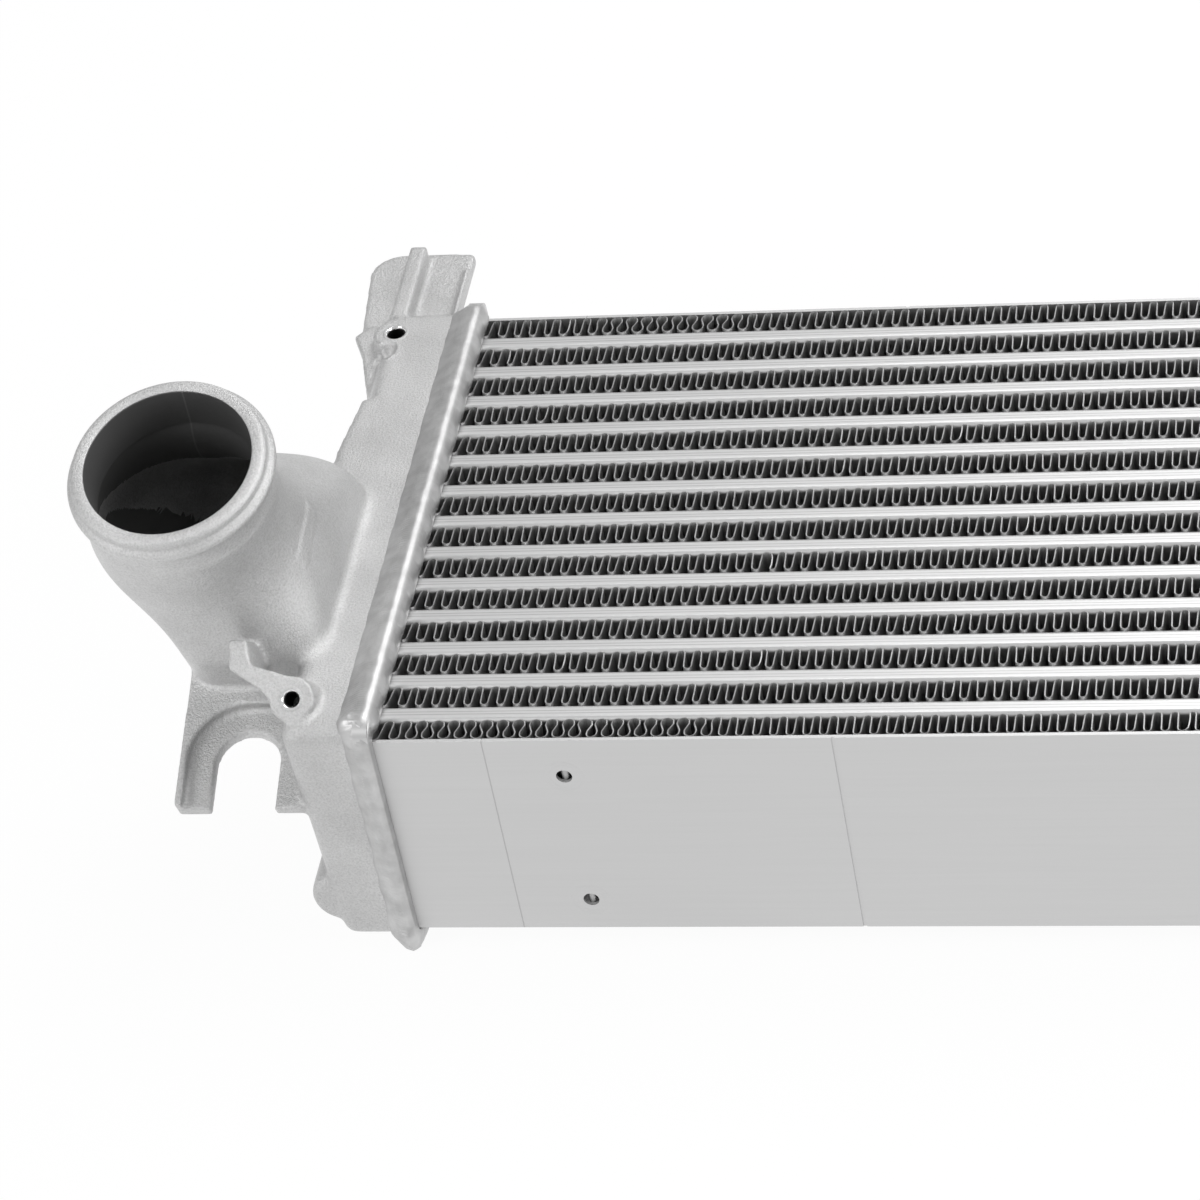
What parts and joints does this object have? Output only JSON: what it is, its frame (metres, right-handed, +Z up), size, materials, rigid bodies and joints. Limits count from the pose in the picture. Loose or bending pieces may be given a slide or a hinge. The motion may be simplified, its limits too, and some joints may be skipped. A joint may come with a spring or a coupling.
{
  "type": "intercooler",
  "caption": "Charge air cooler with corrugated fins between flat tubes and cast end tanks that carry angled hose ports, forked feet, threaded bosses and ears.",
  "frame": {"origin": "centre of the bottom of the bounding box", "axes": "+X along the tubes towards the outlet tank, +Y across the stack of tubes from the foot side to the ear side, +Z up through the cooling face"},
  "size_m": [0.8456, 0.3176, 0.2135],
  "materials": {
    "cast_aluminium": "sand cast, matt",
    "plate_aluminium": "mill finish, satin",
    "tube_aluminium": "extruded, satin",
    "fin_aluminium": "thin rolled sheet, satin"
  },
  "bodies": {
    "root": {"inlet_tank": "cast_aluminium", "outlet_tank": "cast_aluminium", "inlet_weld": "cast_aluminium", "outlet_weld": "cast_aluminium", "inlet_header": "plate_aluminium", "outlet_header": "plate_aluminium", "foot_side_plate": "plate_aluminium", "ear_side_plate": "plate_aluminium", "tube_01": "tube_aluminium", "tube_02": "tube_aluminium", "tube_03": "tube_aluminium", "tube_04": "tube_aluminium", "tube_05": "tube_aluminium", "tube_06": "tube_aluminium", "tube_07": "tube_aluminium", "tube_08": "tube_aluminium", "tube_09": "tube_aluminium", "tube_10": "tube_aluminium", "tube_11": "tube_aluminium", "tube_12": "tube_aluminium", "tube_13": "tube_aluminium", "turbulator_01": "fin_aluminium", "turbulator_02": "fin_aluminium", "turbulator_03": "fin_aluminium", "turbulator_04": "fin_aluminium", "turbulator_05": "fin_aluminium", "turbulator_06": "fin_aluminium", "turbulator_07": "fin_aluminium", "turbulator_08": "fin_aluminium", "turbulator_09": "fin_aluminium", "turbulator_10": "fin_aluminium", "turbulator_11": "fin_aluminium", "turbulator_12": "fin_aluminium", "turbulator_13": "fin_aluminium", "fin_strip_01": "fin_aluminium", "fin_strip_02": "fin_aluminium", "fin_strip_03": "fin_aluminium", "fin_strip_04": "fin_aluminium", "fin_strip_05": "fin_aluminium", "fin_strip_06": "fin_aluminium", "fin_strip_07": "fin_aluminium", "fin_strip_08": "fin_aluminium", "fin_strip_09": "fin_aluminium", "fin_strip_10": "fin_aluminium", "fin_strip_11": "fin_aluminium", "fin_strip_12": "fin_aluminium", "fin_strip_13": "fin_aluminium", "fin_strip_14": "fin_aluminium"}
  },
  "joints": []
}
